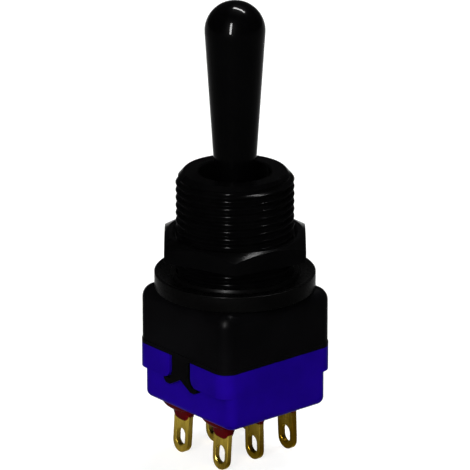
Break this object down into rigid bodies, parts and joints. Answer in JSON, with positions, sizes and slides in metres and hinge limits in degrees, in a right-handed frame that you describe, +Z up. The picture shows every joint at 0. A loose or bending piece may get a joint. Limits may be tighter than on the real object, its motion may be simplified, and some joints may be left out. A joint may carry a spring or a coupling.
{
  "type": "panel toggle switch",
  "caption": "Sealed panel toggle switch: bat lever in a threaded bushing with hex nut and gasket, square case and solder lugs with eyes.",
  "frame": {"origin": "on the bushing's axis, in the plane of the panel gasket's top face", "axes": "+Z up along the bushing and the lever, +X along a row of lugs in the plane of the lever's swing, +Y along the hinge axis"},
  "size_m": [0.0162, 0.0162, 0.0475],
  "materials": {
    "lever_black": "glossy moulded",
    "case_black": "satin moulded",
    "nut_black": "satin moulded",
    "gasket_rubber": "matte",
    "seal_rubber": "matte",
    "base_blue": "satin moulded",
    "compound_red": "cast resin",
    "terminal_gold": "gold flash plating",
    "contact_silver": "silver",
    "rocker_bronze": "spring bronze",
    "steel": "plain",
    "plunger_steel": "polished",
    "carrier_nylon": "natural moulded",
    "sleeve_plastic": "moulded"
  },
  "bodies": {
    "switch_body": {"housing": "case_black", "bearing_sleeve": "sleeve_plastic", "pivot_pin": "steel", "lever_seal": "seal_rubber", "panel_gasket": "gasket_rubber", "base": "base_blue", "sealing_compound": "compound_red", "common_terminal_front": "terminal_gold", "common_terminal_back": "terminal_gold", "outer_terminal_front_left": "terminal_gold", "outer_terminal_front_right": "terminal_gold", "outer_terminal_back_left": "terminal_gold", "outer_terminal_back_right": "terminal_gold", "fixed_contact_front_left": "contact_silver", "fixed_contact_front_right": "contact_silver", "fixed_contact_back_left": "contact_silver", "fixed_contact_back_right": "contact_silver"},
    "lever_arm": {"lever": "lever_black", "plunger_carrier": "carrier_nylon", "plunger_spring_front": "steel", "plunger_spring_back": "steel"},
    "plunger_front": {"plunger_front": "plunger_steel"},
    "plunger_back": {"plunger_back": "plunger_steel"},
    "rocker_front": {"rocker_front": "rocker_bronze", "rocker_contact_front_left": "contact_silver", "rocker_contact_front_right": "contact_silver"},
    "rocker_back": {"rocker_back": "rocker_bronze", "rocker_contact_back_left": "contact_silver", "rocker_contact_back_right": "contact_silver"},
    "nut": {"hex_nut": "nut_black"}
  },
  "joints": [
    {"name": "lever_swing", "type": "hinge", "parent": "switch_body", "child": "lever_arm", "pos_m": [0, 0, 0.0042], "axis": [0, 1, 0], "range_deg": [-12.5, 12.5]},
    {"name": "rocker_front_tilt", "type": "hinge", "parent": "switch_body", "child": "rocker_front", "pos_m": [0, -0.00311, -0.00972], "axis": [0, 1, 0], "range_deg": [-6.25, 6.25]},
    {"name": "rocker_back_tilt", "type": "hinge", "parent": "switch_body", "child": "rocker_back", "pos_m": [0, 0.00311, -0.00972], "axis": [0, 1, 0], "range_deg": [-6.25, 6.25]},
    {"name": "plunger_front_slide", "type": "slide", "parent": "lever_arm", "child": "plunger_front", "axis": [0, 0, 1], "range_m": [0, 0.0006], "stiffness_N_per_m": 500, "springref_m": -0.0008, "deforming": ["plunger_spring_front"]},
    {"name": "plunger_back_slide", "type": "slide", "parent": "lever_arm", "child": "plunger_back", "axis": [0, 0, 1], "range_m": [0, 0.0006], "stiffness_N_per_m": 500, "springref_m": -0.0008, "deforming": ["plunger_spring_back"]},
    {"name": "nut_travel", "type": "slide", "parent": "switch_body", "child": "nut", "axis": [0, 0, 1], "range_m": [-0.00205, 0.0063]}
  ],
  "couplings": [
    {"joint": "rocker_front_tilt", "follows": "lever_swing", "ratio": -0.5},
    {"joint": "rocker_back_tilt", "follows": "lever_swing", "ratio": -0.5}
  ]
}
